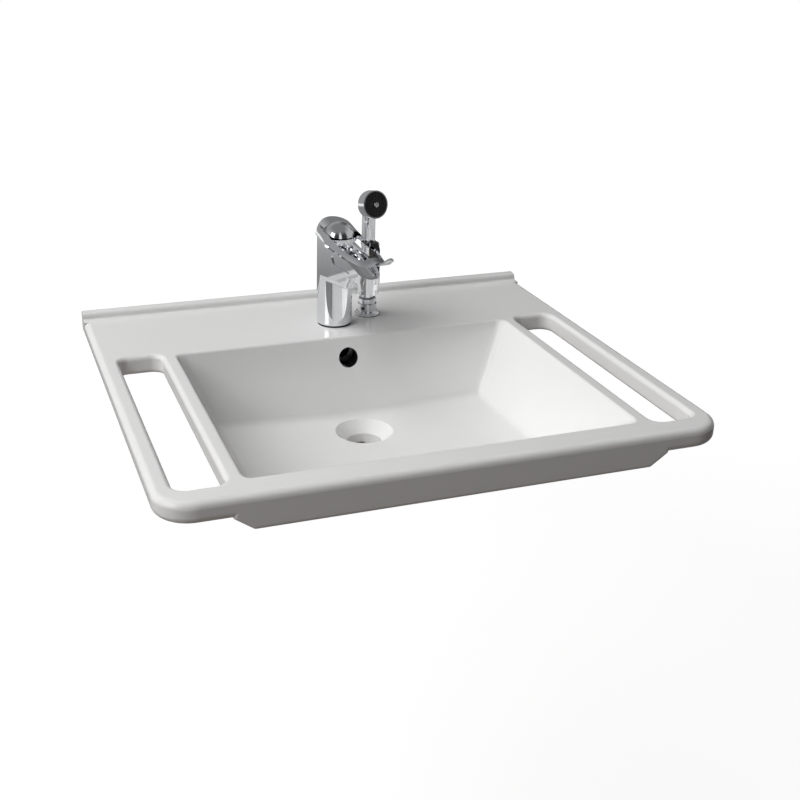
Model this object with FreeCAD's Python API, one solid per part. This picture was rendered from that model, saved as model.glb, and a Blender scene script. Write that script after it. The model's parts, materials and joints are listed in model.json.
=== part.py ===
"""Accessible washbasin with hand grips, a single-lever care mixer and a hand spray.

Millimetres, +Z up, +Y into the wall. The origin lies on the rear face, midway
between the two wall bolts. Shapes are built with Z measured from the top of
the deck, and are raised by the height of the deck above the bolts at the end.
"""
import FreeCAD, Part
import math
import os

V = FreeCAD.Vector
UP = V(0, 0, 1)
overrun = 5.0
seat_gap = 0.3
running_gap = 0.05
touch = 0.001

# China basin: plan and slab
basin_width = 650.0
basin_depth = 570.0
slab_thickness = 25.0
front_corner_radius = 40.0
slab_top_radius = 8.0
slab_low_radius = 9.0
bolt_drop = 80.0
lip_height = 9.0
lip_width = 16.0
lip_round = 5.0
lip_root_radius = 6.0

# China basin: bowl
slot_bar_width = 18.0
bowl_rear = 176.0
front_rim_width = 36.0
bowl_corner_radius = 12.0
bowl_side_slope = 24.0
bowl_rear_slope = 15.0
front_foot_margin = 76.0
floor_fall = 3.4
bowl_rim_radius = 4.0
china_wall = 12.0

# China basin: waste and overflow
waste_y = 252.0
waste_rim_depth = 105.0
waste_recess_radius = 38.0
waste_radius = 23.0
waste_cone_height = 15.0
waste_boss_radius = 40.0
waste_boss_depth = 146.0
overflow_radius = 13.0
overflow_depth = 28.0
duct_half_width = 17.0
duct_width = 15.0
duct_top_depth = 12.0
duct_port_drop = 12.0
duct_port_height = 9.0

# China basin: grip slots
rail_width = 23.0
slot_width = 54.0
slot_rear = 170.0
front_rail_width = 33.0
slot_corner_radius = 14.0
slot_edge_radius = 6.0

# China basin: front apron and hollow behind the bowl
apron_drop = 15.5
apron_overhang = 20.0
apron_end_run = 22.0
apron_depth = 32.0
apron_edge_radius = 5.0
back_inset = 18.0
back_depth = 128.0
back_side_slope = 12.0
back_corner_radius = 18.0
bolt_spacing = 280.0
bolt_hole_radius = 7.0
mixer_hole_radius = 17.5

# Mixer: place and column
mixer_y = 121.0
mixer_turn = 8.0
column_radius = 24.0
column_top = 125.0
column_foot_radius = 4.0
base_gasket_height = 1.2
base_gasket_radius = 22.5

# Mixer: spout
spout_reach = 97.0
spout_nose_radius = 15.0
spout_root_top = 117.0
spout_shoulder_reach = 72.0
spout_shoulder_top = 109.5
spout_shoulder_bend = 25.0
spout_nose_top = 93.0
spout_nose_low = 87.5
spout_root_low = 63.0
spout_belly_low = 67.0
spout_belly_reach = 68.0
spout_belly_bend = 12.0
spout_belly_round = 10.0
outlet_radius = 14.4
outlet_low_radius = 13.8
outlet_low = 80.0
scoop_rear = 40.0
scoop_rear_floor = 105.5
scoop_front_floor = 91.5
scoop_radius = 11.5
pane_depth = 1.6
pane_corner_radius = 4.0
pane_rear = 26.0
pane_rear_low = 35.0
pane_front_low = 74.0
pane_front = 82.0
pane_rear_top = 110.0
pane_rear_foot = 96.0
pane_front_foot = 93.5
pane_front_top = 101.5
waterway_radius = 5.0
waterway_start = 10.0
waterway_start_drop = 5.0
inlet_radius = 5.0
inlet_length = 14.0
inlet_channel_radius = 3.6
inlet_spacing = 18.0
inlet_setback = 5.0

# Mixer: fixing set under the deck
stud_radius = 3.9
stud_length = 78.0
stud_offset = 10.0
stud_engagement = 12.0
clamp_radius = 20.5
clamp_throat = 15.0
clamp_throat_start = 2.0
clamp_rubber_height = 3.0
clamp_steel_height = 2.5
stud_nut_across = 13.0
stud_nut_height = 14.0

# Mixer: ceramic cartridge
cartridge_radius = 17.3
cartridge_bore_gap = 0.1
cartridge_floor = 74.0
cartridge_base_height = 7.0
cartridge_top = 113.0
cartridge_lid = 3.0
cartridge_inner_radius = 14.7
cartridge_mouth_radius = 9.8
port_radius = 3.6
port_ring = 8.5
port_seal_height = 1.0
port_seal_radius = 5.2
fixed_disc_height = 4.0
moving_disc_height = 8.0
moving_disc_radius = 9.5
disc_film = 0.1
disc_pocket_depth = 4.5
carrier_height = 15.0
carrier_fit = 0.08
carrier_slot_gap = 0.2
carrier_slot_half = 10.5
lever_pivot_drop = 20.0
pivot_pin_radius = 1.5
stem_width = 8.0
stem_top_rise = 3.5
stem_tip_width = 5.0
stem_tip_gap = 0.9
stem_tip_length = 7.0
retainer_radius = 19.3
retainer_mouth_radius = 13.0
retainer_height = 5.0
retainer_notch_width = 5.0
retainer_notch_depth = 2.0
retainer_notch_count = 4

# Mixer: open loop lever
lever_gap = 0.4
hood_radius = 26.0
lever_reach = 161.0
lever_lift_angle = 20.0
skirt_gap = 0.4
loop_start = 24.0
loop_end_share = 0.677
loop_wall = 4.6
loop_end_radius = 9.0
loop_bend_radius = 12.0
dome_radius = 21.9
dome_ahead = 13.0
dome_sink = 8.4
dome_base_rise = 6.0
dome_tilt = 12.0
dome_wall = 2.0
dome_pocket_gap = 0.3
dome_seat_width = 2.6
funnel_rise = 1.3
funnel_height = 16.0
funnel_angle = 58.0
socket_radius = 7.5
socket_drop = 7.0
lever_screw_radius = 2.4
lever_screw_head = 4.5
lever_screw_head_height = 2.5
lever_screw_seat_rise = 4.8
lever_screw_length = 10.0
lever_screw_gap = 0.2
lever_screw_tip_gap = 1.0
# Each section of the lever: a share of its reach, then its half width, low edge and crown as
# shares of the hood's radius
lever_section_shares = (
    (0.0, 1.0, 0.0, 1.0),
    (0.125, 1.023, -0.1, 0.781),
    (0.25, 1.05, -0.185, 0.519),
    (0.375, 1.035, -0.25, 0.335),
    (0.5, 0.962, -0.323, 0.177),
    (0.625, 0.815, -0.423, 0.019),
    (0.75, 0.585, -0.392, -0.215),
    (0.875, 0.331, -0.1, 0.023),
    (1.0, 0.069, 0.254, 0.331),
)

# Mixer: aerator
aerator_radius = 13.6
aerator_height = 7.5
aerator_neck_radius = 10.8
aerator_neck_height = 5.0
aerator_wall = 2.2
aerator_notch_count = 12
aerator_notch_width = 3.0
aerator_notch_depth = 1.0
aerator_notch_height = 3.0
aerator_insert_height = 9.0
aerator_hole_radius = 0.9
aerator_hole_ring = 5.0
aerator_hole_count = 8
aerator_gasket_height = 1.6

# Hand spray holder
spray_x = 55.7
spray_y = 98.2
spray_turn = 12.0
holder_hole_radius = 14.2
holder_flange_radius = 18.0
holder_flange_edge = 1.5
holder_flange_height = 4.0
holder_flange_shoulder = 15.4
holder_body_radius = 13.2
holder_body_top = 16.0
holder_groove_radius = 11.3
holder_groove_height = 2.0
holder_ring_radius = 12.2
holder_bevel = 0.8
holder_top = 24.0
holder_shank_radius = 13.0
holder_shank_depth = 52.0
holder_bore_radius = 10.0
holder_gasket_height = 1.0
holder_gasket_inset = 0.8
liner_inner_radius = 8.2
liner_flange_radius = 10.8
liner_flange_height = 1.4
liner_length = 40.0
holder_washer_radius = 20.0
holder_washer_height = 2.5
holder_nut_across = 34.0
holder_nut_height = 9.0

# Hand spray
handle_low_radius = 9.2
handle_top_radius = 9.5
handle_wall = 2.4
tail_radius = 7.9
tail_length = 30.0
tail_inlet_radius = 5.0
tail_inlet_length = 14.0
tail_bore_radius = 4.2
collar_height = 103.0
collar_radius = 10.4
collar_width = 8.0
collar_bevel = 1.2
head_height = 160.0
head_radius = 19.0
head_ahead = 17.3
head_length = 20.0
head_tilt = 11.0
head_round = 6.0
head_wall = 2.5
face_radius = 17.4
face_thickness = 3.2
face_proud = 1.0
face_gap = 0.1
face_edge_radius = 0.8
jet_radius = 0.8
jet_ring_steps = (2, 3)
jet_ring_pitch = 4.4
jet_step_count = 6
face_screw_radius = 3.4
face_screw_proud = 2.0
face_screw_socket_radius = 1.2
face_screw_socket_depth = 1.5
face_screw_length = 9.0
face_boss_radius = 4.8

# Hand spray: trigger and valve
trigger_pivot_ahead = 13.6
trigger_half_width = 5.2
trigger_outer = 23.5
trigger_inner = 13.6
trigger_low = 57.0
trigger_toe = 16.4
trigger_toe_width = 4.4
trigger_toe_rise = 2.0
trigger_belly_rise = 11.0
trigger_hub_radius = 3.4
trigger_shoulder = 18.6
trigger_shoulder_drop = 8.0
trigger_corner_radius = 2.0
trigger_bend_radius = 7.0
trigger_edge_radius = 1.2
ear_gap = 0.4
ear_wall = 2.2
trigger_pin_radius = 1.6
valve_height = 84.0
plunger_radius = 2.4
plunger_length = 10.5
plunger_head_radius = 4.0
plunger_head_length = 2.5
sleeve_radius = 5.0
sleeve_length = 7.0
sleeve_head_start = 4.4
spring_radius = 3.2
spring_wire = 0.8
spring_turns = 4
spring_length = 5.9


def box(x0, x1, y0, y1, z0, z1):
    return Part.makeBox(x1 - x0, y1 - y0, z1 - z0, V(x0, y0, z0))


def cylinder(radius, z0, z1, x=0.0, y=0.0):
    return Part.makeCylinder(radius, z1 - z0, V(x, y, z0))


def tube(outer, inner, z0, z1, x=0.0, y=0.0):
    return cylinder(outer, z0, z1, x, y).cut(cylinder(inner, z0 - overrun, z1 + overrun, x, y))


def cone(r0, r1, z0, z1):
    return Part.makeCone(r0, r1, z1 - z0, V(0, 0, z0))


def rounded_wire(points, radii):
    """A closed wire through the points, each corner rounded by its radius."""
    count = len(points)
    edges = []
    starts = []
    ends = []
    arcs = []
    for index, point in enumerate(points):
        back = (points[index - 1] - point).normalize()
        ahead = (points[(index + 1) % count] - point).normalize()
        half = back.getAngle(ahead) / 2
        radius = radii[index]
        reach = radius / math.tan(half)
        starts.append(point + back * reach)
        ends.append(point + ahead * reach)
        inward = (back + ahead).normalize() if radius else V(0, 0, 0)
        arcs.append(point + inward * (radius / math.sin(half) - radius))
    for index in range(count):
        if radii[index]:
            edges.append(Part.Arc(starts[index], arcs[index], ends[index]).toShape())
        following = starts[(index + 1) % count]
        if (following - ends[index]).Length > touch:
            edges.append(Part.LineSegment(ends[index], following).toShape())
    return Part.Wire(edges)


def rectangle_wire(x0, x1, y0, y1, radius, z):
    corners = [V(x0, y0, z), V(x1, y0, z), V(x1, y1, z), V(x0, y1, z)]
    return rounded_wire(corners, [radius] * len(corners))


def plate(wire, height):
    return Part.Face(wire).extrude(V(0, 0, height))


def side_prism(points, radii, half_width):
    """A side outline of (ahead, height) pairs, ahead being towards -Y, made as wide as asked."""
    wire = rounded_wire([V(-half_width, -ahead, height) for ahead, height in points], radii)
    return Part.Face(wire).extrude(V(2 * half_width, 0, 0))


def turned(points):
    """A solid turned round Z from an outline of (radius, height) pairs."""
    corners = [V(radius, 0, height) for radius, height in points]
    return Part.Face(Part.makePolygon(corners + corners[:1])).revolve(V(0, 0, 0), UP, 360)


def round_edges(shape, radius, pick):
    return shape.makeFillet(radius, [edge for edge in shape.Edges if pick(edge)])


def level_edge(height):
    """Picks edges that lie flat at a height."""
    return lambda edge: all(abs(vertex.Z - height) < seat_gap for vertex in edge.Vertexes)


def fused(first, *others):
    return first.multiFuse(list(others)).removeSplitter()


def moved(shape, x, y, z):
    placed = shape.copy()
    placed.translate(V(x, y, z))
    return placed


def turned_by(shape, centre, axis, angle):
    placed = shape.copy()
    placed.rotate(centre, axis, angle)
    return placed


def hexagon(across, z0, z1, x=0.0, y=0.0):
    corner = across / 2 / math.cos(math.radians(30))
    points = [
        V(x + corner * math.cos(step * math.pi / 3), y + corner * math.sin(step * math.pi / 3), z0)
        for step in range(6)
    ]
    return plate(Part.makePolygon(points + points[:1]), z1 - z0)


def run(angle, height):
    """How far a wall at an angle from the vertical moves in over a height."""
    return height * math.tan(math.radians(angle))


# Heights and places that several pieces share
slot_outer = basin_width / 2 - rail_width
slot_inner = slot_outer - slot_width
slot_front = basin_depth - front_rail_width
bowl_half_width = slot_inner - slot_bar_width
bowl_front = basin_depth - front_rim_width
front_foot = waste_y + waste_recess_radius + front_foot_margin
bowl_front_slope = math.degrees(math.atan2(bowl_front - front_foot, waste_rim_depth))
apron_half_top = bowl_half_width + apron_overhang
apron_half_low = apron_half_top - apron_end_run
back_half_width = bowl_half_width - back_inset
deck_low = -slab_thickness
bowl_floor_rear = bowl_rear + run(bowl_rear_slope, waste_rim_depth)
shell_low = waste_rim_depth + china_wall
duct_y = bowl_rear - china_wall
waste_low = waste_rim_depth + waste_cone_height
port_top = waste_low + duct_port_drop
port_low = port_top + duct_port_height
lever_pivot = column_top - lever_pivot_drop
lever_low = column_top + lever_gap
loop_end = lever_reach * loop_end_share
spout_lean = math.degrees(math.asin((column_radius - spout_nose_radius) / spout_reach))
socket_top = outlet_low + aerator_neck_height + aerator_gasket_height
carrier_top = cartridge_top - cartridge_lid - disc_film
disc_low = cartridge_floor + cartridge_base_height + fixed_disc_height + disc_film
handle_foot = holder_top + liner_flange_height
plunger_tip_ahead = trigger_inner - seat_gap
plunger_head_ahead = plunger_tip_ahead - plunger_length


def slab():
    half = basin_width / 2
    outline = [V(-half, 0, 0), V(-half, -basin_depth, 0), V(half, -basin_depth, 0), V(half, 0, 0)]
    radii = [0.0, front_corner_radius, front_corner_radius, 0.0]
    wire = rounded_wire([point - UP * slab_thickness for point in outline], radii)
    body = plate(wire, slab_thickness)

    def outer(height):
        flat = level_edge(height)
        return lambda edge: flat(edge) and edge.CenterOfMass.y < -seat_gap

    body = round_edges(body, slab_top_radius, outer(0.0))
    body = round_edges(body, slab_low_radius, outer(-slab_thickness))
    for side in (-1, 1):
        edges = sorted((side * slot_inner, side * slot_outer))
        low = -slab_thickness - overrun
        opening = rectangle_wire(*edges, -slot_front, -slot_rear, slot_corner_radius, low)
        body = body.cut(plate(opening, overrun - low))
        for height in (0.0, -slab_thickness):
            body = round_edges(body, slot_edge_radius, slot_edge(edges, height))
    return body


def slot_edge(edges, height):
    flat = level_edge(height)

    def pick(edge):
        middle = edge.CenterOfMass
        across = edges[0] - seat_gap < middle.x < edges[1] + seat_gap
        return flat(edge) and across and -slot_front - seat_gap < middle.y < -slot_rear + seat_gap

    return pick


def rear_lip():
    """The upstand along the wall, with a rounded top and a hollow root."""
    half = basin_width / 2
    outline = [
        (0.0, -slab_top_radius),
        (0.0, lip_height),
        (lip_width, lip_height),
        (lip_width, 0.0),
        (lip_width + 2 * lip_root_radius, 0.0),
        (lip_width + 2 * lip_root_radius, -slab_top_radius),
    ]
    radii = [0.0, lip_round / 2, lip_round, lip_root_radius / 2, 0.0, 0.0]
    return side_prism(outline, radii, half)


def frustum(top_half, rear, front, depth):
    """A block under the deck whose four walls lean in as the bowl's do."""
    low_half = top_half - run(bowl_side_slope, depth)
    low_rear = rear + run(bowl_rear_slope, depth)
    low_front = front - run(bowl_front_slope, depth)
    block = Part.makeWedge(
        -top_half, 0.0, -front, -low_front, -low_half, top_half, depth, -rear, -low_rear, low_half
    )
    return turned_by(block, V(0, 0, 0), V(1, 0, 0), -90)


def bowl_space():
    """The inside of the bowl: sloping walls and a floor that falls to the waste from all sides."""
    walls = frustum(bowl_half_width, bowl_rear, bowl_front, waste_rim_depth + overrun)
    far = basin_depth
    rise = math.tan(math.radians(floor_fall)) * (far - waste_recess_radius)
    floor = turned([
        (0.0, -waste_rim_depth),
        (waste_recess_radius, -waste_rim_depth),
        (far, rise - waste_rim_depth),
        (far, overrun),
        (0.0, overrun),
    ])
    space = walls.common(moved(floor, 0.0, -waste_y, 0.0))
    return round_edges(space, bowl_corner_radius, wall_edge)


def wall_edge(edge):
    """Picks the corners of the bowl and the line where its walls meet its floor."""
    middle = edge.valueAt((edge.FirstParameter + edge.LastParameter) / 2)
    outward = math.hypot(middle.x, middle.y + waste_y)
    return middle.z < -seat_gap and outward > waste_recess_radius + seat_gap


def waste_space():
    """The cone under the floor, the waste hole and its overflow port."""
    recess = cone(waste_radius, waste_recess_radius, -waste_low, -waste_rim_depth)
    hole = cylinder(waste_radius, -waste_boss_depth - overrun, -waste_low)
    port = box(
        -duct_half_width / 2, duct_half_width / 2, 0.0, waste_y - duct_y + duct_width,
        -port_low, -port_top,
    )
    return moved(fused(recess, hole, port), 0.0, -waste_y, 0.0)


def bowl_shell():
    """The outside of the bowl, the boss round the waste and the cast overflow duct."""
    shell = frustum(
        bowl_half_width + china_wall, bowl_rear - china_wall, bowl_front + china_wall, shell_low
    )

    def below_deck(edge):
        return edge.CenterOfMass.z < -seat_gap

    shell = round_edges(shell, bowl_corner_radius + china_wall, below_deck)
    half = basin_width / 2
    shell = shell.common(box(-half, half, -basin_depth, 0.0, -shell_low, -slab_top_radius))
    boss = cylinder(waste_boss_radius, -waste_boss_depth, -waste_rim_depth, 0.0, -waste_y)
    duct_half = duct_half_width + china_wall / 2
    duct = box(
        -duct_half, duct_half, -waste_y, -duct_y + duct_width + china_wall / 2,
        -waste_boss_depth, -slab_top_radius,
    )
    return fused(shell, boss, duct)


def overflow_space():
    """The overflow hole in the rear wall and the duct down to the waste."""
    hole = Part.makeCylinder(
        overflow_radius, bowl_floor_rear - duct_y, V(0, -bowl_floor_rear, -overflow_depth), V(0, 1, 0)
    )
    duct = box(
        -duct_half_width, duct_half_width, -duct_y, -duct_y + duct_width,
        -port_low, -duct_top_depth,
    )
    return hole.fuse(duct)


def apron():
    """The deeper middle of the front face, with slanting ends."""
    low = -slab_thickness - apron_drop
    outline = [
        V(-apron_half_top, -basin_depth, -slab_thickness / 2),
        V(-apron_half_top, -basin_depth, -slab_thickness),
        V(-apron_half_low, -basin_depth, low),
        V(apron_half_low, -basin_depth, low),
        V(apron_half_top, -basin_depth, -slab_thickness),
        V(apron_half_top, -basin_depth, -slab_thickness / 2),
    ]
    radii = [0.0, apron_edge_radius, apron_edge_radius, apron_edge_radius, apron_edge_radius, 0.0]
    body = Part.Face(rounded_wire(outline, radii)).extrude(V(0, apron_depth, 0))

    def front_low(edge):
        middle = edge.CenterOfMass
        return middle.z < -slab_thickness and abs(middle.y + basin_depth) < seat_gap

    return round_edges(body, apron_edge_radius, front_low)


def back_box():
    """The part behind the bowl that stands against the wall, hollow from below."""
    low_half = back_half_width - run(back_side_slope, back_depth)
    outline = [
        V(-back_half_width, 0, -slab_top_radius),
        V(-low_half, 0, -back_depth),
        V(low_half, 0, -back_depth),
        V(back_half_width, 0, -slab_top_radius),
    ]
    radii = [0.0, back_corner_radius, back_corner_radius, 0.0]
    return Part.Face(rounded_wire(outline, radii)).extrude(V(0, -bowl_floor_rear - china_wall, 0))


def back_space():
    """The hollow under the deck, open below, with room for the tap's fixings."""
    low_half = back_half_width - run(back_side_slope, back_depth)
    outline = [
        V(-back_half_width + china_wall, 0, deck_low),
        V(-low_half + china_wall, 0, -waste_boss_depth - overrun),
        V(low_half - china_wall, 0, -waste_boss_depth - overrun),
        V(back_half_width - china_wall, 0, deck_low),
    ]
    radii = [back_corner_radius, 0.0, 0.0, back_corner_radius]
    block = Part.Face(rounded_wire(outline, radii)).extrude(V(0, -bowl_floor_rear, 0))
    return moved(block, 0.0, -china_wall, 0.0)


def rim_edge(edge):
    middle = edge.CenterOfMass
    inside = abs(middle.x) < bowl_half_width + seat_gap
    between = -bowl_front - seat_gap < middle.y < -bowl_rear + seat_gap
    return level_edge(0.0)(edge) and inside and between


def basin():
    body = fused(slab(), rear_lip(), apron(), back_box()).cut(back_space().cut(slab()))
    body = fused(body, bowl_shell()).cut(bowl_space())
    body = round_edges(body, bowl_rim_radius, rim_edge)
    body = body.cut(waste_space()).cut(overflow_space())
    body = body.cut(cylinder(mixer_hole_radius, -slab_thickness - overrun, overrun, 0.0, -mixer_y))
    body = body.cut(cylinder(holder_hole_radius, -slab_thickness - overrun, overrun, spray_x, -spray_y))
    for side in (-1, 1):
        mouth = V(side * bolt_spacing / 2, overrun, -bolt_drop)
        length = china_wall + 2 * overrun
        body = body.cut(Part.makeCylinder(bolt_hole_radius, length, mouth, V(0, -1, 0)))
    return body


def mixer_place(shape):
    """From the mixer's own frame, spout towards -Y, to its place on the deck."""
    return moved(turned_by(shape, V(0, 0, 0), UP, mixer_turn), 0.0, -mixer_y, 0.0)


def spray_place(shape):
    """From the hand spray's own frame, face towards -Y, to its place on the deck."""
    return moved(turned_by(shape, V(0, 0, 0), UP, spray_turn), spray_x, -spray_y, 0.0)


def belt_wire(near, far, reach, height):
    """A round end about the axis and a smaller one ahead of it, joined by straight flanks."""
    lean = math.asin((near - far) / reach)
    cosine = math.cos(lean)
    sine = math.sin(lean)
    near_left = V(-near * cosine, -near * sine, height)
    near_right = V(near * cosine, -near * sine, height)
    far_left = V(-far * cosine, -reach - far * sine, height)
    far_right = V(far * cosine, -reach - far * sine, height)
    return Part.Wire([
        Part.Arc(near_right, V(0, near, height), near_left).toShape(),
        Part.LineSegment(near_left, far_left).toShape(),
        Part.Arc(far_left, V(0, -reach - far, height), far_right).toShape(),
        Part.LineSegment(far_right, near_right).toShape(),
    ])


def spout():
    nose = spout_reach + spout_nose_radius
    outline = [
        (0.0, spout_root_low),
        (spout_belly_reach, spout_belly_low),
        (spout_reach - outlet_radius, spout_nose_low),
        (nose + overrun, spout_nose_low),
        (nose + overrun, spout_nose_top),
        (spout_shoulder_reach, spout_shoulder_top),
        (0.0, spout_root_top),
    ]
    radii = [0.0, spout_belly_bend, 0.0, 0.0, 0.0, spout_shoulder_bend, 0.0]
    block = side_prism(outline, radii, column_radius + overrun)
    body = block.common(plate(belt_wire(column_radius, spout_nose_radius, spout_reach, 0.0), column_top))

    def belly_edge(edge):
        middle = edge.valueAt((edge.FirstParameter + edge.LastParameter) / 2)
        under = middle.z < spout_nose_low - seat_gap and -middle.y > column_radius
        return under and abs(middle.x) > spout_belly_round

    return round_edges(body, spout_belly_round, belly_edge)


def scoop():
    """The long hollow in the top of the spout."""
    rear = V(0, -scoop_rear, scoop_rear_floor + scoop_radius)
    front = V(0, -spout_reach, scoop_front_floor + scoop_radius)
    trough = Part.makeCylinder(scoop_radius, (front - rear).Length, rear, front - rear)
    return fused(trough, Part.makeSphere(scoop_radius, rear), Part.makeSphere(scoop_radius, front))


def pane(side):
    """The shallow recess in one flank of the spout."""
    outline = [
        (pane_rear, pane_rear_top),
        (pane_rear_low, pane_rear_foot),
        (pane_front_low, pane_front_foot),
        (pane_front, pane_front_top),
    ]
    corners = [V(side * (column_radius - pane_depth), -ahead, height) for ahead, height in outline]
    wire = rounded_wire(corners, [pane_corner_radius] * len(corners))
    cutter = Part.Face(wire).extrude(V(side * overrun, 0, 0))
    return turned_by(cutter, V(0, 0, 0), UP, -side * spout_lean)


def waterway():
    start = V(0, -waterway_start, cartridge_floor - waterway_start_drop)
    end = V(0, -spout_reach, outlet_low + aerator_neck_height)
    run_out = Part.makeCylinder(waterway_radius, (end - start).Length, start, end - start)
    turn = Part.makeSphere(waterway_radius, start)
    rise = cylinder(port_radius, start.z, cartridge_floor + overrun, 0.0, -port_ring)
    return fused(run_out, turn, rise)


def mixer_body():
    column = cylinder(column_radius, base_gasket_height, column_top)
    column = round_edges(column, column_foot_radius, level_edge(base_gasket_height))
    outlet = at_outlet(cone(outlet_low_radius, outlet_radius, outlet_low, spout_nose_low))
    body = fused(column, spout(), outlet).cut(scoop())
    for side in (-1, 1):
        body = body.cut(pane(side))
    high = column_top + overrun
    body = body.cut(cylinder(cartridge_radius + cartridge_bore_gap, cartridge_floor, high))
    body = body.cut(cylinder(retainer_radius + running_gap, cartridge_top, high))
    body = body.cut(waterway())
    body = body.cut(cylinder(aerator_neck_radius + running_gap, 0.0, socket_top, 0.0, -spout_reach))
    for side in (-1, 1):
        x = side * inlet_spacing / 2
        body = body.cut(cylinder(inlet_radius, 0.0, base_gasket_height + inlet_length, x, inlet_setback))
        body = body.cut(cylinder(inlet_channel_radius, 0.0, cartridge_floor + overrun, x, inlet_setback))
    return body.cut(
        cylinder(stud_radius + running_gap, 0.0, base_gasket_height + stud_engagement, 0.0, -stud_offset)
    )


def mixer_base_gasket():
    return tube(base_gasket_radius, mixer_hole_radius - running_gap, 0.0, base_gasket_height)


def mixer_stud():
    top = base_gasket_height + stud_engagement
    return cylinder(stud_radius, top - stud_length, top, 0.0, -stud_offset)


def horseshoe(z0, z1):
    """A clamp washer, open at the rear for the supply hoses."""
    low = z0 - overrun
    high = z1 + overrun
    disc = cylinder(clamp_radius, z0, z1)
    throat = box(-clamp_throat, clamp_throat, -clamp_throat_start, clamp_radius, low, high)
    hole = cylinder(stud_radius + seat_gap, low, high, 0.0, -stud_offset)
    return disc.cut(throat).cut(hole)


def clamp_rubber():
    return horseshoe(deck_low - clamp_rubber_height, deck_low)


def clamp_plate():
    top = deck_low - clamp_rubber_height
    return horseshoe(top - clamp_steel_height, top)


def stud_nut():
    top = deck_low - clamp_rubber_height - clamp_steel_height
    body = hexagon(stud_nut_across, top - stud_nut_height, top, 0.0, -stud_offset)
    hole = cylinder(stud_radius + running_gap, top - stud_length, top + overrun, 0.0, -stud_offset)
    return body.cut(hole)


def around(count, radius):
    """Evenly spaced places on a circle, the first one straight ahead."""
    for step in range(count):
        angle = 2 * math.pi * step / count
        yield radius * math.sin(angle), -radius * math.cos(angle)


def port_places():
    """The outlet port ahead, and the two inlet ports behind it."""
    return [(0.0, -port_ring)] + [(side * inlet_spacing / 2, inlet_setback) for side in (-1, 1)]


def cartridge_base():
    top = cartridge_floor + cartridge_base_height
    body = cylinder(cartridge_radius, cartridge_floor, top)
    for x, y in port_places():
        body = body.cut(cylinder(port_radius, 0.0, column_top, x, y))
        seat_top = cartridge_floor + port_seal_height
        body = body.cut(cylinder(port_seal_radius, 0.0, seat_top, x, y))
    return body


def cartridge_seals():
    top = cartridge_floor + port_seal_height
    rings = [tube(port_seal_radius, port_radius, cartridge_floor, top, x, y) for x, y in port_places()]
    return Part.makeCompound(rings)


def cartridge_housing():
    low = cartridge_floor + cartridge_base_height
    body = tube(cartridge_radius, cartridge_inner_radius, low, cartridge_top - cartridge_lid)
    lid = tube(cartridge_radius, cartridge_mouth_radius, cartridge_top - cartridge_lid, cartridge_top)
    return fused(body, lid)


def fixed_disc():
    low = cartridge_floor + cartridge_base_height
    body = cylinder(cartridge_inner_radius - running_gap, low, low + fixed_disc_height)
    for x, y in port_places():
        body = body.cut(cylinder(port_radius, 0.0, column_top, x, y))
    return body


def moving_disc():
    body = cylinder(moving_disc_radius, disc_low, disc_low + moving_disc_height)
    half = stem_tip_width / 2 + stem_tip_gap
    top = disc_low + moving_disc_height
    pocket = box(-half, half, -half, half, top - disc_pocket_depth, top + overrun)
    chamber = cylinder(moving_disc_radius - port_radius, disc_low - overrun, disc_low + port_seal_height)
    return body.cut(pocket).cut(chamber)


def cross_pin(radius, half_length, ahead, height):
    return Part.makeCylinder(radius, 2 * half_length, V(-half_length, -ahead, height), V(1, 0, 0))


def carrier():
    radius = cartridge_inner_radius - carrier_fit
    body = cylinder(radius, carrier_top - carrier_height, carrier_top)
    half = stem_width / 2 + carrier_slot_gap
    slot = box(-half, half, -carrier_slot_half, carrier_slot_half, cartridge_floor, column_top)
    hole = cross_pin(pivot_pin_radius + running_gap, cartridge_radius, 0.0, lever_pivot)
    return body.cut(slot).cut(hole)


def pivot_pin():
    radius = cartridge_inner_radius - carrier_fit
    reach = math.sqrt(radius ** 2 - pivot_pin_radius ** 2)
    return cross_pin(pivot_pin_radius, reach, 0.0, lever_pivot)


def stem():
    half = stem_width / 2
    low = lever_pivot - stem_tip_length
    body = box(-half, half, -half, half, low, column_top + stem_top_rise)
    tip_half = stem_tip_width / 2
    tip_low = disc_low + moving_disc_height - disc_pocket_depth + stem_tip_gap
    tip = box(-tip_half, tip_half, -tip_half, tip_half, tip_low, low)
    body = fused(body, tip).cut(cross_pin(pivot_pin_radius + running_gap, stem_width, 0.0, lever_pivot))
    hole_low = lever_low + lever_screw_seat_rise - lever_screw_length - lever_screw_tip_gap
    return body.cut(cylinder(lever_screw_radius + running_gap, hole_low, column_top + overrun))


def retainer_nut():
    top = cartridge_top + retainer_height
    body = tube(retainer_radius, retainer_mouth_radius, cartridge_top, top)
    half = retainer_notch_width / 2
    middle = (retainer_radius + retainer_mouth_radius) / 2
    far = retainer_radius + overrun
    for step in range(retainer_notch_count):
        notch = box(-half, half, middle, far, top - retainer_notch_depth, top + overrun)
        body = body.cut(turned_by(notch, V(0, 0, 0), UP, 360 * step / retainer_notch_count))
    return body


def lever_section(shares):
    reach_share, width_share, low_share, crown_share = shares
    y = -lever_reach * reach_share
    half = hood_radius * width_share
    left = V(-half, y, lever_low + hood_radius * low_share)
    right = V(half, y, lever_low + hood_radius * low_share)
    crown = V(0, y, lever_low + hood_radius * crown_share)
    return Part.Wire([Part.Arc(left, crown, right).toShape(), Part.LineSegment(right, left).toShape()])


def lever_half_width(ahead):
    """Half the lever's width at a place along it."""
    pairs = [(lever_reach * row[0], hood_radius * row[1]) for row in lever_section_shares]
    for (near, near_half), (far, far_half) in zip(pairs, pairs[1:]):
        if near <= ahead <= far:
            return near_half + (far_half - near_half) * (ahead - near) / (far - near)
    return 0.0


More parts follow.
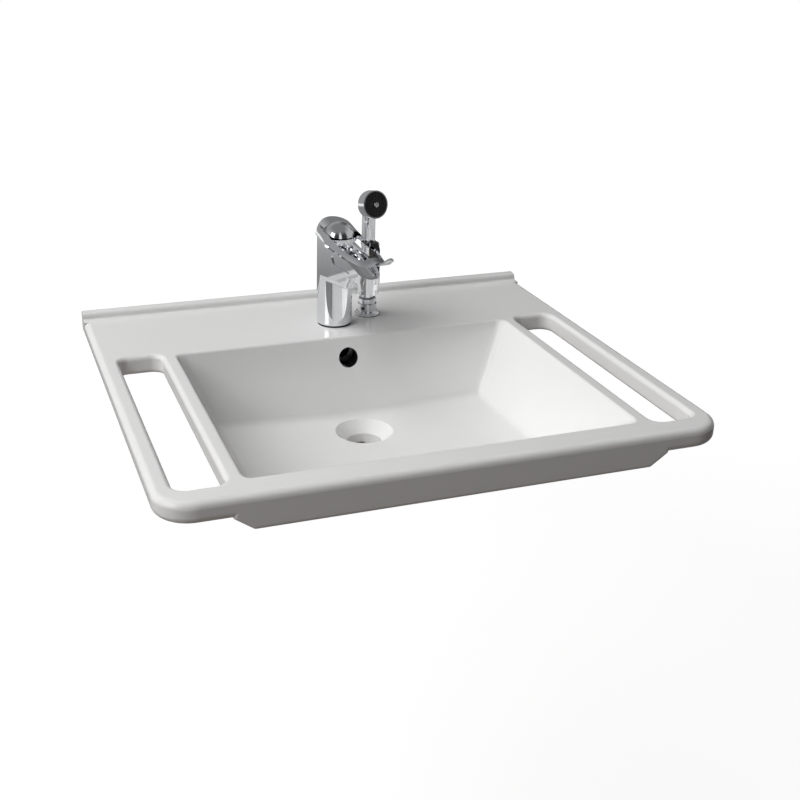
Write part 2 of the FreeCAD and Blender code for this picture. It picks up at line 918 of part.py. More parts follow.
def loop_opening(start, start_half, z0, z1):
    """The gap between the lever's arms, from a start to the bar at its front."""
    stations = [lever_reach * row[0] for row in lever_section_shares]
    between = [ahead for ahead in stations if start < ahead < loop_end]
    flank = [(start, start_half, 0.0)]
    flank += [(ahead, lever_half_width(ahead) - loop_wall, loop_bend_radius) for ahead in between]
    flank += [(loop_end, lever_half_width(loop_end) - loop_wall, loop_end_radius)]
    points = [V(half, -ahead, z0) for ahead, half, radius in flank]
    points += [V(-half, -ahead, z0) for ahead, half, radius in reversed(flank)]
    radii = [radius for ahead, half, radius in flank]
    return plate(rounded_wire(points, radii + radii[::-1]), z1 - z0)


def dome_place(shape):
    """From the dome's own frame, base at zero, to its seat in the lever."""
    leaned = turned_by(shape, V(0, 0, 0), V(1, 0, 0), dome_tilt)
    return moved(leaned, 0.0, -dome_ahead, lever_low + dome_base_rise)


def lift_spaces():
    """The room that the column's top takes up inside the lever, from closed to fully lifted."""
    radius = column_radius + skirt_gap
    far = 2 * hood_radius
    column = cylinder(radius, spout_root_low, lever_low)
    below = box(-far, far, -far, far, spout_root_low, lever_low)
    pivot = V(0, 0, lever_pivot)
    lifted_column = turned_by(column, pivot, V(1, 0, 0), lever_lift_angle)
    lifted_below = turned_by(below, pivot, V(1, 0, 0), lever_lift_angle)
    ball = Part.makeSphere(math.hypot(radius, lever_low - lever_pivot), pivot)
    rear = ball.common(lifted_below).cut(below)
    front = ball.common(below).cut(lifted_below)
    return [column, lifted_column, rear, front]


def lever():
    reach = hood_radius + overrun
    rear = Part.makeSphere(hood_radius, V(0, 0, lever_low))
    rear = rear.common(box(-reach, reach, 0.0, reach, lever_low, lever_low + reach))
    front = Part.makeLoft([lever_section(row) for row in lever_section_shares], True, False)
    body = fused(rear, front)
    for space in lift_spaces():
        body = body.cut(space)
    pocket_radius = math.sqrt(dome_radius ** 2 - dome_sink ** 2) + dome_pocket_gap
    body = body.cut(dome_place(cylinder(pocket_radius, 0.0, 2 * dome_radius)))
    funnel_radius = pocket_radius + run(funnel_angle, funnel_height)
    funnel = cone(pocket_radius, funnel_radius, funnel_rise, funnel_rise + funnel_height)
    body = body.cut(dome_place(funnel))
    seat_radius = pocket_radius + dome_seat_width
    web_top = lever_low + dome_base_rise - math.tan(math.radians(dome_tilt)) * seat_radius
    high = lever_low + 2 * hood_radius
    body = body.cut(loop_opening(dome_ahead, pocket_radius, web_top, high))
    start_half = lever_half_width(loop_start) - loop_wall
    opening = loop_opening(loop_start, start_half, lever_pivot, high)
    body = body.cut(opening.cut(cylinder(seat_radius, lever_pivot, high, 0.0, -dome_ahead)))
    seat = lever_low + lever_screw_seat_rise
    body = body.fuse(cylinder(socket_radius, column_top - socket_drop, seat))
    half = stem_width / 2 + running_gap
    body = body.cut(box(-half, half, -half, half, lever_pivot, column_top + stem_top_rise + running_gap))
    body = body.cut(cylinder(lever_screw_radius + lever_screw_gap, column_top, high))
    return body.cut(cylinder(lever_screw_head + seat_gap, seat, high)).removeSplitter()


def dome_cap():
    ball = Part.makeSphere(dome_radius, V(0, 0, -dome_sink))
    hollow = Part.makeSphere(dome_radius - dome_wall, V(0, 0, -dome_sink))
    reach = dome_radius + overrun
    return dome_place(ball.cut(hollow).common(box(-reach, reach, -reach, reach, 0.0, reach)))


def lever_screw():
    seat = lever_low + lever_screw_seat_rise
    head = cylinder(lever_screw_head, seat, seat + lever_screw_head_height)
    shank = cylinder(lever_screw_radius, seat - lever_screw_length, seat)
    socket = hexagon(lever_screw_radius * 2, seat + lever_screw_head_height / 2, seat + overrun)
    return fused(head, shank).cut(socket)


def at_outlet(shape):
    return moved(shape, 0.0, -spout_reach, 0.0)


def aerator_housing():
    low = outlet_low - aerator_height
    top = outlet_low + aerator_neck_height
    inner = aerator_neck_radius - aerator_wall
    body = turned([
        (inner, low),
        (aerator_radius, low),
        (aerator_radius, outlet_low),
        (aerator_neck_radius, outlet_low),
        (aerator_neck_radius, top),
        (inner, top),
    ])
    half = aerator_notch_width / 2
    edge = aerator_radius - aerator_notch_depth
    far = aerator_radius + overrun
    for step in range(aerator_notch_count):
        notch = box(-half, half, edge, far, low - overrun, low + aerator_notch_height)
        body = body.cut(turned_by(notch, V(0, 0, 0), UP, 360 * (step + 0.5) / aerator_notch_count))
    return at_outlet(body)


def aerator_insert():
    top = outlet_low + aerator_neck_height
    body = cylinder(aerator_neck_radius - aerator_wall - running_gap, top - aerator_insert_height, top)
    for x, y in around(aerator_hole_count, aerator_hole_ring):
        body = body.cut(cylinder(aerator_hole_radius, 0.0, column_top, x, y))
    return at_outlet(body)


def aerator_gasket():
    low = outlet_low + aerator_neck_height
    return at_outlet(tube(aerator_neck_radius, aerator_neck_radius - aerator_wall, low, socket_top))


def holder_body():
    flange_top = holder_gasket_height + holder_flange_height
    groove_low = holder_body_top + holder_bevel
    groove_top = groove_low + holder_groove_height
    return turned([
        (holder_bore_radius, -holder_shank_depth),
        (holder_shank_radius, -holder_shank_depth),
        (holder_shank_radius, holder_gasket_height),
        (holder_flange_radius, holder_gasket_height),
        (holder_flange_radius, holder_gasket_height + holder_flange_edge),
        (holder_flange_shoulder, flange_top),
        (holder_body_radius, flange_top),
        (holder_body_radius, holder_body_top),
        (holder_groove_radius, groove_low),
        (holder_groove_radius, groove_top),
        (holder_ring_radius, groove_top),
        (holder_ring_radius, holder_top - holder_bevel),
        (holder_ring_radius - holder_bevel, holder_top),
        (holder_bore_radius, holder_top),
    ])


def holder_gasket():
    outer = holder_flange_radius - holder_gasket_inset
    return tube(outer, holder_shank_radius + running_gap, 0.0, holder_gasket_height)


def holder_liner():
    outer = holder_bore_radius - running_gap
    sleeve = tube(outer, liner_inner_radius, holder_top - liner_length, holder_top)
    flange = tube(liner_flange_radius, liner_inner_radius, holder_top, holder_top + liner_flange_height)
    return fused(sleeve, flange)


def holder_washer():
    return tube(
        holder_washer_radius, holder_shank_radius + seat_gap, deck_low - holder_washer_height, deck_low
    )


def holder_nut():
    top = deck_low - holder_washer_height
    body = hexagon(holder_nut_across, top - holder_nut_height, top)
    return body.cut(cylinder(holder_shank_radius + running_gap, -holder_shank_depth, 0.0))


def head_place(shape):
    """From the head's own frame, axis along +Z and the face's seat at zero, to the handle's top."""
    leaned = turned_by(shape, V(0, 0, 0), V(1, 0, 0), 90 - head_tilt)
    return moved(leaned, 0.0, -head_ahead, head_height)


def spray_body():
    tail_low = holder_top - tail_length
    handle = turned([
        (0.0, tail_low),
        (tail_radius, tail_low),
        (tail_radius, handle_foot),
        (handle_low_radius, handle_foot),
        (handle_top_radius, head_height),
        (0.0, head_height),
    ])
    half = collar_width / 2
    collar = turned([
        (0.0, collar_height - half),
        (collar_radius - collar_bevel, collar_height - half),
        (collar_radius, collar_height - half + collar_bevel),
        (collar_radius, collar_height + half - collar_bevel),
        (collar_radius - collar_bevel, collar_height + half),
        (0.0, collar_height + half),
    ])
    drum = cylinder(head_radius, -head_length, 0.0)
    drum = head_place(round_edges(drum, head_round, level_edge(-head_length)))
    reach = trigger_half_width + ear_gap + ear_wall
    ears = cross_pin(trigger_hub_radius, reach, trigger_pivot_ahead, collar_height)
    arm = box(
        -reach, reach, -trigger_pivot_ahead, 0.0,
        collar_height - trigger_hub_radius, collar_height + trigger_hub_radius,
    )
    gap = trigger_half_width + ear_gap
    mouth = box(
        -gap, gap, -trigger_outer, -collar_radius + collar_bevel,
        collar_height - collar_width, collar_height + collar_width,
    )
    body = fused(handle, collar, drum, ears, arm).cut(mouth)
    bore = handle_low_radius - handle_wall
    body = body.cut(cylinder(tail_inlet_radius, tail_low - overrun, tail_low + tail_inlet_length))
    body = body.cut(cylinder(tail_bore_radius, tail_low, head_height))
    body = body.cut(cylinder(bore, handle_foot + handle_wall, head_height))
    cavity = cylinder(head_radius - head_wall - face_gap, head_wall - head_length, overrun)
    boss = cylinder(face_boss_radius, -head_length, face_proud - face_thickness)
    body = body.cut(head_place(cavity.cut(boss)))
    body = body.cut(head_place(cylinder(face_radius + face_gap, face_proud - face_thickness, overrun)))
    screw_low = face_proud - face_screw_length
    body = body.cut(head_place(cylinder(face_screw_radius / 2 + running_gap, screw_low, overrun)))
    pin_radius = trigger_pin_radius + running_gap
    body = body.cut(cross_pin(pin_radius, reach + overrun, trigger_pivot_ahead, collar_height))
    valve_end = handle_top_radius + overrun
    return body.cut(valve_bore(sleeve_radius + running_gap, sleeve_head_start, valve_end))


def valve_bore(radius, start, end):
    """A cylinder ahead along the valve's line."""
    return Part.makeCylinder(radius, end - start, V(0, -start, valve_height), V(0, -1, 0))


def spray_face():
    low = face_proud - face_thickness
    body = cylinder(face_radius, low, face_proud)
    body = round_edges(body, face_edge_radius, level_edge(face_proud))
    body = body.cut(cylinder(face_screw_radius / 2 + running_gap, low - overrun, face_proud + overrun))
    for step in jet_ring_steps:
        for x, y in around(step * jet_step_count, step * jet_ring_pitch + jet_ring_pitch / 2):
            body = body.cut(cylinder(jet_radius, low - overrun, face_proud + overrun, x, y))
    return head_place(body)


def face_screw():
    top = face_proud + face_screw_proud
    head = cylinder(face_screw_radius, face_proud, top)
    head = round_edges(head, face_screw_proud / 2, level_edge(top))
    shank = cylinder(face_screw_radius / 2, face_proud - face_screw_length, face_proud)
    socket = hexagon(face_screw_socket_radius * 2, top - face_screw_socket_depth, top + overrun)
    return head_place(fused(head, shank).cut(socket))


def trigger():
    top = collar_height + trigger_hub_radius
    outline = [
        (trigger_inner, collar_height - trigger_hub_radius),
        (trigger_inner, trigger_low + trigger_belly_rise),
        (trigger_toe, trigger_low),
        (trigger_toe + trigger_toe_width, trigger_low + trigger_toe_rise),
        (trigger_outer, trigger_low + trigger_belly_rise),
        (trigger_outer, top - trigger_shoulder_drop),
        (trigger_shoulder, top),
        (trigger_pivot_ahead, top),
    ]
    bend = trigger_bend_radius
    corner = trigger_corner_radius
    radii = [0.0, bend, corner, corner, bend, bend, bend / 2, 0.0]
    body = side_prism(outline, radii, trigger_half_width)

    def outer_edge(edge):
        middle = edge.valueAt((edge.FirstParameter + edge.LastParameter) / 2)
        flank = abs(abs(middle.x) - trigger_half_width) < seat_gap
        return flank and -middle.y > trigger_inner + trigger_corner_radius

    body = round_edges(body, trigger_edge_radius, outer_edge)
    hub = cross_pin(trigger_hub_radius, trigger_half_width, trigger_pivot_ahead, collar_height)
    hole_radius = trigger_pin_radius + running_gap
    hole = cross_pin(hole_radius, trigger_half_width + overrun, trigger_pivot_ahead, collar_height)
    return fused(body, hub).cut(hole)


def trigger_pin():
    half = trigger_half_width + ear_gap + ear_wall
    return cross_pin(trigger_pin_radius, half, trigger_pivot_ahead, collar_height)


def valve_sleeve():
    end = sleeve_head_start + sleeve_length
    body = valve_bore(sleeve_radius, sleeve_head_start, end)
    return body.cut(valve_bore(plunger_radius + running_gap, 0.0, end + overrun))


def valve_plunger():
    rod = valve_bore(plunger_radius, plunger_head_ahead, plunger_tip_ahead)
    head = valve_bore(plunger_head_radius, plunger_head_ahead - plunger_head_length, plunger_head_ahead)
    return fused(rod, head)


def valve_spring():
    """A coil of square wire behind the plunger's head."""
    half = spring_wire / 2
    pitch = (spring_length - spring_wire) / spring_turns
    inner = spring_radius - half
    outer = spring_radius + half
    corners = [V(inner, 0, -half), V(outer, 0, -half), V(outer, 0, half), V(inner, 0, half)]
    section = Part.makePolygon(corners + corners[:1])
    path = Part.Wire(Part.makeHelix(pitch, pitch * spring_turns, spring_radius))
    standing = moved(path.makePipeShell([section], True, True), 0.0, 0.0, half)
    lying = turned_by(standing, V(0, 0, 0), V(1, 0, 0), -90)
    return moved(lying, 0.0, plunger_head_length - plunger_head_ahead, valve_height)


MIXER_PIECES = {
    "mixer_body": mixer_body,
    "mixer_base_gasket": mixer_base_gasket,
    "mixer_stud": mixer_stud,
    "clamp_rubber": clamp_rubber,
    "clamp_plate": clamp_plate,
    "stud_nut": stud_nut,
    "cartridge_base": cartridge_base,
    "cartridge_seals": cartridge_seals,
    "cartridge_housing": cartridge_housing,
    "fixed_disc": fixed_disc,
    "moving_disc": moving_disc,
    "carrier": carrier,
    "pivot_pin": pivot_pin,
    "stem": stem,
    "retainer_nut": retainer_nut,
    "lever": lever,
    "dome_cap": dome_cap,
    "lever_screw": lever_screw,
    "aerator_housing": aerator_housing,
    "aerator_insert": aerator_insert,
    "aerator_gasket": aerator_gasket,
}

SPRAY_PIECES = {
    "holder_body": holder_body,
    "holder_gasket": holder_gasket,
    "holder_liner": holder_liner,
    "holder_washer": holder_washer,
    "holder_nut": holder_nut,
    "spray_body": spray_body,
    "spray_face": spray_face,
    "face_screw": face_screw,
    "trigger": trigger,
    "trigger_pin": trigger_pin,
    "valve_sleeve": valve_sleeve,
    "valve_plunger": valve_plunger,
    "valve_spring": valve_spring,
}


def save(name, shape):
    moved(shape, 0.0, 0.0, bolt_drop).exportStep("parts/" + name + ".step")


if __name__ == "__main__":
    os.makedirs("parts", exist_ok=True)
    save("basin", basin())
    for name, make in MIXER_PIECES.items():
        save(name, mixer_place(make()))
    for name, make in SPRAY_PIECES.items():
        save(name, spray_place(make()))
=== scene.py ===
"""Studio scene of an accessible washbasin: glazed china, chrome mixer and hand spray.

Metres, in the part's own frame: +X right, +Y into the wall, +Z up, origin between the wall bolts.
"""
import json

import bpy
from mathutils import Matrix, Vector


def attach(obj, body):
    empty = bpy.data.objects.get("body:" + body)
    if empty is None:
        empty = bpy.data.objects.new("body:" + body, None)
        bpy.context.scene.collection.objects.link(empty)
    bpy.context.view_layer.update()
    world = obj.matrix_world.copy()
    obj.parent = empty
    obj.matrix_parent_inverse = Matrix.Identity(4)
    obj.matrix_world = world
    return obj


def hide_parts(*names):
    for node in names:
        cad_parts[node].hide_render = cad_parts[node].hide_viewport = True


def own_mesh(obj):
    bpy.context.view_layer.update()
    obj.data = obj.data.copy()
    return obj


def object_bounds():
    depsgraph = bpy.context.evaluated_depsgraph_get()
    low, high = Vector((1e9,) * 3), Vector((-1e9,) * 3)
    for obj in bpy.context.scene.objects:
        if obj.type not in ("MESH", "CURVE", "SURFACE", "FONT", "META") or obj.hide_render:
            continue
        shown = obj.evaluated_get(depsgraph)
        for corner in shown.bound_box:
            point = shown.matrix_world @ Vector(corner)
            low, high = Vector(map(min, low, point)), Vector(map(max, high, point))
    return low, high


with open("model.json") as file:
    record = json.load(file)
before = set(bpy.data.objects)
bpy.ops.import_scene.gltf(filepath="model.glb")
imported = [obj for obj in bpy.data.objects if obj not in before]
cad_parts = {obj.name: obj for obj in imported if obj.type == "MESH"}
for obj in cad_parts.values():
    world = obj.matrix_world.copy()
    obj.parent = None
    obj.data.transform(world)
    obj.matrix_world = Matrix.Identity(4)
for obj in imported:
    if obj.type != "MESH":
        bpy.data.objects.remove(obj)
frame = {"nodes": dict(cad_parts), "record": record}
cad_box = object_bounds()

# Camera, solved from the corners of the rim and the grip slots
DECK_HEIGHT = 0.080
CAMERA_ABOVE_DECK = 0.5636
CAMERA_PLACE = Vector((-0.4816, -1.5868, CAMERA_ABOVE_DECK + DECK_HEIGHT))
CAMERA_RIGHT = Vector((0.9407, -0.3388, 0.0210))
CAMERA_UP = Vector((0.1092, 0.3606, 0.9263))
CAMERA_BACK = Vector((-0.3214, -0.8690, 0.3762))
SENSOR_MM = 36.0
IMAGE_PX = 800
FOCAL_PX = 1194.7
AXIS_PX = (374.5, 365.4)
IMAGE_MIDDLE = 0.5

# Studio floor, below the basin's lowest point
FLOOR_DROP = 0.72
FLOOR_WIDTH = 18.0
# Its colour to the camera, and the slightly warm colour that it throws back at the basin
FLOOR_COLOUR = (0.28, 0.28, 0.28, 1.0)
FLOOR_BOUNCE = (0.30, 0.27, 0.245, 1.0)
# Its glow to the camera and in mirrors: near distance and strength, then far distance and strength
CAMERA_GLOW = (1.2, 0.85, 3.5, 1.0)
MIRROR_GLOW = (2.8, 0.25, 5.0, 1.0)

# Soft lamps round one point: name, power in watts, direction from the point, width, shown in mirrors
LAMP_AIM = Vector((0.0, -0.28, 0.05))
LAMP_DISTANCE = 4.5
LAMPS = (
    ("key", 145.0, Vector((-0.6, -0.1, 0.8)), 4.2, False),
    ("rear", 68.0, Vector((-0.5, 0.5, 0.7)), 4.5, False),
    ("fill", 40.0, Vector((-0.8, -0.3, 0.5)), 2.0, True),
)

# Background to the camera, and the faint light that comes from all round
WHITE = (1.0, 1.0, 1.0, 1.0)
AMBIENT = (0.012, 0.010, 0.009, 1.0)

# What polished metal mirrors: grey levels round the room, at shares of a turn from -X by way of -Y
ROOM_LEVELS = (
    (0.0, 0.52), (0.10, 0.52), (0.13, 0.05), (0.20, 0.05), (0.22, 0.90), (0.25, 0.90),
    (0.27, 0.04), (0.36, 0.04), (0.40, 0.50), (0.58, 0.50), (0.61, 0.10), (0.67, 0.10),
    (0.70, 0.34), (0.88, 0.34), (1.0, 0.52),
)
# Ceiling of that room: its grey level, and how steeply a ray rises where it starts and where it is full
CEILING_LEVEL = 0.22
CEILING_START = 0.5
CEILING_FULL = 0.85

# Overflow hole in the rear wall of the bowl: painted shade, near-black on its walls and the duct behind it,
# where shade falls
OVERFLOW_MIDDLE = Vector((0.0, 0.0, 0.052))
OVERFLOW_RADIUS = 0.0131
OVERFLOW_DEPTH = -0.166
OVERFLOW_HALF_LENGTH = 0.024
OVERFLOW_PAINTED_SHADE = (0.012, 0.012, 0.012, 1.0)
ACROSS_OVERFLOW = (1.0, 0.0, 1.0)

# Levels of a noise pattern at which its two colours are full
NOISE_LOW = 0.35
NOISE_HIGH = 0.65

# Glaze of the china: two close whites, a little uneven in gloss, with a faint ripple
GLAZE_LOW = (0.895, 0.895, 0.89)
GLAZE_HIGH = (0.91, 0.91, 0.905)
GLAZE_SCALE = 6.0
GLOSS_LOW = 0.10
GLOSS_HIGH = 0.16
GLOSS_SCALE = 9.0
RIPPLE_SCALE = 14.0
RIPPLE_DETAIL = 1.0
RIPPLE_STRENGTH = 0.04
RIPPLE_DEPTH = 0.002
GLAZE_IOR = 1.52

# Metals: darker and lighter colour, least and most roughness, scale of the grain, strength of its relief
METALS = {
    "chrome": ((0.80, 0.81, 0.83), (0.84, 0.85, 0.87), 0.035, 0.06, 40.0, 0.0),
    "steel": ((0.55, 0.55, 0.56), (0.66, 0.66, 0.67), 0.24, 0.34, 300.0, 0.05),
    "brass": ((0.68, 0.50, 0.22), (0.80, 0.62, 0.32), 0.20, 0.32, 260.0, 0.05),
}
METAL_RELIEF_DEPTH = 0.0004

# Rubber, plastics and the discs' ceramic, by the same values; their relief is finer than their colour's grain
MOULDED = {
    "black_rubber": ((0.018, 0.018, 0.018), (0.03, 0.03, 0.03), 0.55, 0.7, 60.0, 0.2),
    "black_plastic": ((0.008, 0.008, 0.009), (0.014, 0.014, 0.015), 0.22, 0.32, 40.0, 0.06),
    "grey_plastic": ((0.28, 0.29, 0.30), (0.34, 0.35, 0.36), 0.4, 0.5, 60.0, 0.1),
    "cartridge_plastic": ((0.72, 0.72, 0.70), (0.78, 0.78, 0.76), 0.4, 0.5, 60.0, 0.1),
    "disc_ceramic": ((0.78, 0.77, 0.74), (0.84, 0.83, 0.80), 0.15, 0.22, 80.0, 0.03),
}
MOULDED_FINENESS = 12.0
MOULDED_RELIEF_DEPTH = 0.0003

# Places of the colour sockets on a Mix node, which shares their names with its other kinds
MIX_FACTOR = 0
MIX_FIRST = 6
MIX_SECOND = 7
MIX_RESULT = 2


def new_material(name):
    material = bpy.data.materials.new(name)
    material.use_nodes = True
    tree = material.node_tree
    return material, tree, tree.nodes["Principled BSDF"]


def grey(level):
    return (level, level, level, 1.0)


def calculate(tree, kind, operation, *values):
    """A Math or Vector Math node; each value is a constant or the output that it comes from."""
    node = tree.nodes.new(kind)
    node.operation = operation
    for socket, value in zip(node.inputs, values):
        if isinstance(value, bpy.types.NodeSocket):
            tree.links.new(value, socket)
        else:
            socket.default_value = value
    return node


def spread(tree, value, start, end, low, high):
    """Low to high as the value goes from start to end."""
    node = tree.nodes.new("ShaderNodeMapRange")
    node.inputs["From Min"].default_value = start
    node.inputs["From Max"].default_value = end
    node.inputs["To Min"].default_value = low
    node.inputs["To Max"].default_value = high
    tree.links.new(value, node.inputs["Value"])
    return node.outputs["Result"]


def colour_mix(tree, factor):
    """First colour, second colour and result of a mix that goes to the second with the factor."""
    node = tree.nodes.new("ShaderNodeMix")
    node.data_type = "RGBA"
    tree.links.new(factor, node.inputs[MIX_FACTOR])
    return node.inputs[MIX_FIRST], node.inputs[MIX_SECOND], node.outputs[MIX_RESULT]


def shader_mix(tree, factor, first, second):
    node = tree.nodes.new("ShaderNodeMixShader")
    for socket, output in zip(node.inputs, (factor, first, second)):
        tree.links.new(output, socket)
    return node.outputs["Shader"]


def noise(tree, scale, detail=3.0):
    """A noise pattern fixed to the object, in object coordinates."""
    place = tree.nodes.new("ShaderNodeTexCoord")
    pattern = tree.nodes.new("ShaderNodeTexNoise")
    pattern.inputs["Scale"].default_value = scale
    pattern.inputs["Detail"].default_value = detail
    tree.links.new(place.outputs["Object"], pattern.inputs["Vector"])
    return pattern.outputs["Fac"]


def uneven_colour(tree, pattern, low, high):
    ramp = tree.nodes.new("ShaderNodeValToRGB")
    first, last = ramp.color_ramp.elements
    first.position = NOISE_LOW
    first.color = (*low, 1.0)
    last.position = NOISE_HIGH
    last.color = (*high, 1.0)
    tree.links.new(pattern, ramp.inputs["Fac"])
    return ramp.outputs["Color"]


def uneven_roughness(tree, shader, pattern, low, high):
    tree.links.new(spread(tree, pattern, 0.0, 1.0, low, high), shader.inputs["Roughness"])


def bump(tree, shader, pattern, strength, distance):
    relief = tree.nodes.new("ShaderNodeBump")
    relief.inputs["Strength"].default_value = strength
    relief.inputs["Distance"].default_value = distance
    tree.links.new(pattern, relief.inputs["Height"])
    tree.links.new(relief.outputs["Normal"], shader.inputs["Normal"])


def overflow_painted_shade_mask(tree):
    """1 on the walls of the overflow hole and the duct behind it, where the glaze takes a painted shade."""
    place = tree.nodes.new("ShaderNodeTexCoord").outputs["Object"]
    flat = calculate(tree, "ShaderNodeVectorMath", "MULTIPLY", place, ACROSS_OVERFLOW)
    away = calculate(tree, "ShaderNodeVectorMath", "DISTANCE", flat.outputs["Vector"], OVERFLOW_MIDDLE)
    inside = calculate(tree, "ShaderNodeMath", "LESS_THAN", away.outputs["Value"], OVERFLOW_RADIUS)
    axes = tree.nodes.new("ShaderNodeSeparateXYZ")
    tree.links.new(place, axes.inputs["Vector"])
    depth = axes.outputs["Y"]
    along = calculate(tree, "ShaderNodeMath", "COMPARE", depth, OVERFLOW_DEPTH, OVERFLOW_HALF_LENGTH)
    both = calculate(tree, "ShaderNodeMath", "MULTIPLY", inside.outputs["Value"], along.outputs["Value"])
    return both.outputs["Value"]


def glazed_china():
    material, tree, shader = new_material("glazed_china")
    outside, inside, colour = colour_mix(tree, overflow_painted_shade_mask(tree))
    tree.links.new(uneven_colour(tree, noise(tree, GLAZE_SCALE), GLAZE_LOW, GLAZE_HIGH), outside)
    # Painted shade: near-black on the overflow hole's walls and duct, in place of the shade that falls in
    # there
    inside.default_value = OVERFLOW_PAINTED_SHADE
    tree.links.new(colour, shader.inputs["Base Color"])
    uneven_roughness(tree, shader, noise(tree, GLOSS_SCALE), GLOSS_LOW, GLOSS_HIGH)
    bump(tree, shader, noise(tree, RIPPLE_SCALE, RIPPLE_DETAIL), RIPPLE_STRENGTH, RIPPLE_DEPTH)
    shader.inputs["IOR"].default_value = GLAZE_IOR
    return material


def metal(name, low, high, smooth, rough, grain, relief):
    material, tree, shader = new_material(name)
    shader.inputs["Metallic"].default_value = 1.0
    pattern = noise(tree, grain)
    tree.links.new(uneven_colour(tree, pattern, low, high), shader.inputs["Base Color"])
    uneven_roughness(tree, shader, pattern, smooth, rough)
    if relief:
        bump(tree, shader, pattern, relief, METAL_RELIEF_DEPTH)
    return material


def moulded(name, low, high, smooth, rough, grain, relief):
    material, tree, shader = new_material(name)
    pattern = noise(tree, grain)
    tree.links.new(uneven_colour(tree, pattern, low, high), shader.inputs["Base Color"])
    uneven_roughness(tree, shader, pattern, smooth, rough)
    bump(tree, shader, noise(tree, grain * MOULDED_FINENESS), relief, MOULDED_RELIEF_DEPTH)
    return material


def materials():
    made = {"glazed_china": glazed_china()}
    for name, values in METALS.items():
        made[name] = metal(name, *values)
    for name, values in MOULDED.items():
        made[name] = moulded(name, *values)
    return made


def dress_nodes():
    """Gives each node the material that its record names."""
    made = materials()
    for part in frame["record"]["subparts"]:
        mesh = frame["nodes"][part["node"]].data
        mesh.materials.clear()
        mesh.materials.append(made[part["material_slot"]])


def return_spring():
    """The trigger's return spring: a copy of it with its own mesh, on the hand spray's body, in place of the
    hidden original.
    """
    spring = bpy.data.objects.new("valve_spring_coil", frame["nodes"]["valve_spring"].data.copy())
    bpy.context.collection.objects.link(spring)
    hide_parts("valve_spring")
    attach(spring, "hand_spray")
    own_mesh(spring)


def ray_kinds(tree):
    """Two outputs: 1 for camera rays, and 1 for mirror and see-through rays."""
    path = tree.nodes.new("ShaderNodeLightPath")
    rays = (path.outputs["Is Glossy Ray"], path.outputs["Is Transmission Ray"])
    either = calculate(tree, "ShaderNodeMath", "MAXIMUM", *rays)
    return path.outputs["Is Camera Ray"], either.outputs["Value"]


def room_walls(tree, direction):
    """Grey levels of the mirrored room, all the way round."""
    turn = tree.nodes.new("ShaderNodeTexGradient")
    turn.gradient_type = "RADIAL"
    tree.links.new(direction, turn.inputs["Vector"])
    walls = tree.nodes.new("ShaderNodeValToRGB")
    stops = walls.color_ramp.elements
    stops.remove(stops[-1])
    stops[0].color = grey(ROOM_LEVELS[0][1])
    for share, level in ROOM_LEVELS[1:]:
        stops.new(share).color = grey(level)
    tree.links.new(turn.outputs["Fac"], walls.inputs["Fac"])
    return walls.outputs["Color"]


def make_world():
    """White to the camera, a grey room in mirrors, and a faint light from all round."""
    world = bpy.data.worlds.new("studio")
    bpy.context.scene.world = world
    world.use_nodes = True
    tree = world.node_tree
    camera_ray, mirror_ray = ray_kinds(tree)
    direction = tree.nodes.new("ShaderNodeTexCoord").outputs["Generated"]
    axes = tree.nodes.new("ShaderNodeSeparateXYZ")
    tree.links.new(direction, axes.inputs["Vector"])
    rise = spread(tree, axes.outputs["Z"], CEILING_START, CEILING_FULL, 0.0, 1.0)
    walls, ceiling, room = colour_mix(tree, rise)
    tree.links.new(room_walls(tree, direction), walls)
    ceiling.default_value = grey(CEILING_LEVEL)
    on_matt, in_mirrors, unseen = colour_mix(tree, mirror_ray)
    on_matt.default_value = AMBIENT
    tree.links.new(room, in_mirrors)
    other_rays, to_camera, background = colour_mix(tree, camera_ray)
    tree.links.new(unseen, other_rays)
    to_camera.default_value = WHITE
    tree.links.new(background, tree.nodes["Background"].inputs["Color"])


def distance_glow(tree, near, near_strength, far, far_strength):
    """A glow that rises to white away from the basin, so that no horizon shows."""
    place = tree.nodes.new("ShaderNodeTexCoord")
    away = calculate(tree, "ShaderNodeVectorMath", "LENGTH", place.outputs["Object"])
    strength = spread(tree, away.outputs["Value"], near, far, near_strength, far_strength)
    glow = tree.nodes.new("ShaderNodeEmission")
    tree.links.new(strength, glow.inputs["Strength"])
    return glow.outputs["Emission"]


def matt(tree, colour):
    node = tree.nodes.new("ShaderNodeBsdfDiffuse")
    node.inputs["Color"].default_value = colour
    return node.outputs["BSDF"]


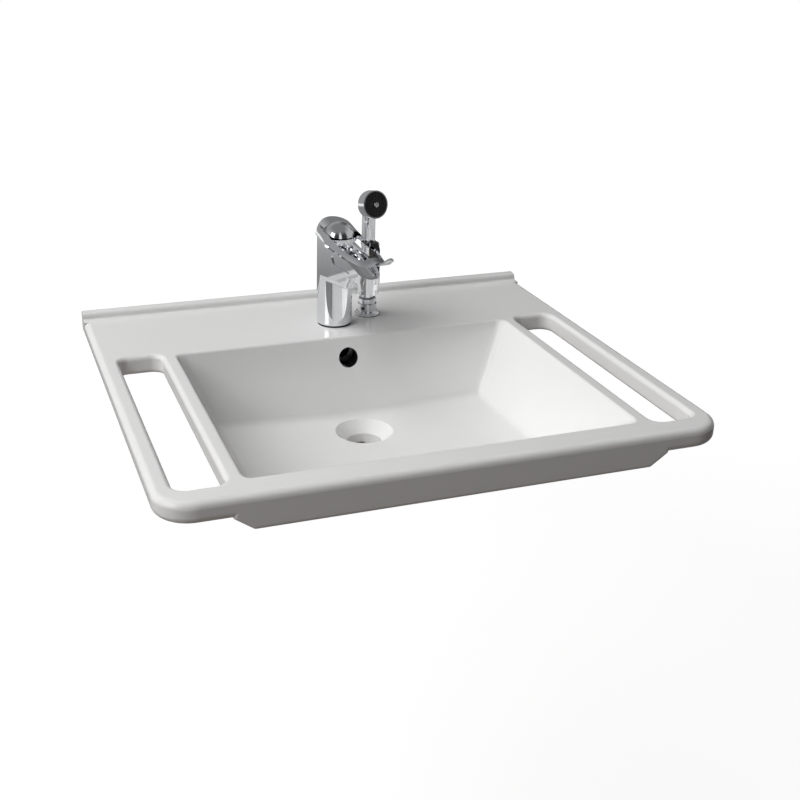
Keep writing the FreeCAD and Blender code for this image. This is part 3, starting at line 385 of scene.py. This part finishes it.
def make_floor():
    """A pale floor that glows to the camera, keeps the shadow and lights the basin from below."""
    low = cad_box[0].z - FLOOR_DROP
    bpy.ops.mesh.primitive_plane_add(size=FLOOR_WIDTH, location=(0.0, 0.0, low))
    floor = bpy.context.object
    floor.name = "studio_floor"
    material = bpy.data.materials.new("studio_floor")
    material.use_nodes = True
    tree = material.node_tree
    tree.nodes.clear()
    lit = tree.nodes.new("ShaderNodeAddShader")
    tree.links.new(matt(tree, FLOOR_COLOUR), lit.inputs[0])
    tree.links.new(distance_glow(tree, *CAMERA_GLOW), lit.inputs[1])
    camera_ray, mirror_ray = ray_kinds(tree)
    mirrored = distance_glow(tree, *MIRROR_GLOW)
    unseen = shader_mix(tree, mirror_ray, matt(tree, FLOOR_BOUNCE), mirrored)
    surface = shader_mix(tree, camera_ray, unseen, lit.outputs["Shader"])
    out = tree.nodes.new("ShaderNodeOutputMaterial")
    tree.links.new(surface, out.inputs["Surface"])
    floor.data.materials.append(material)


def soft_lamp(name, power, side, width, mirrored):
    data = bpy.data.lights.new(name, "AREA")
    data.energy = power
    data.shape = "SQUARE"
    data.size = width
    lamp = bpy.data.objects.new(name, data)
    bpy.context.collection.objects.link(lamp)
    lamp.visible_glossy = mirrored
    lamp.location = LAMP_AIM + LAMP_DISTANCE * side.normalized()
    lamp.rotation_euler = (-side).to_track_quat("-Z", "Y").to_euler()


def make_camera():
    data = bpy.data.cameras.new("camera")
    data.sensor_width = SENSOR_MM
    data.lens = SENSOR_MM * FOCAL_PX / IMAGE_PX
    data.shift_x = IMAGE_MIDDLE - AXIS_PX[0] / IMAGE_PX
    data.shift_y = AXIS_PX[1] / IMAGE_PX - IMAGE_MIDDLE
    camera = bpy.data.objects.new("camera", data)
    bpy.context.collection.objects.link(camera)
    turn = Matrix((CAMERA_RIGHT, CAMERA_UP, CAMERA_BACK)).transposed().to_4x4()
    camera.matrix_world = Matrix.Translation(CAMERA_PLACE) @ turn
    bpy.context.scene.camera = camera


bpy.context.scene.view_settings.view_transform = "Standard"
dress_nodes()
return_spring()
make_world()
make_floor()
for lamp_values in LAMPS:
    soft_lamp(*lamp_values)
make_camera()
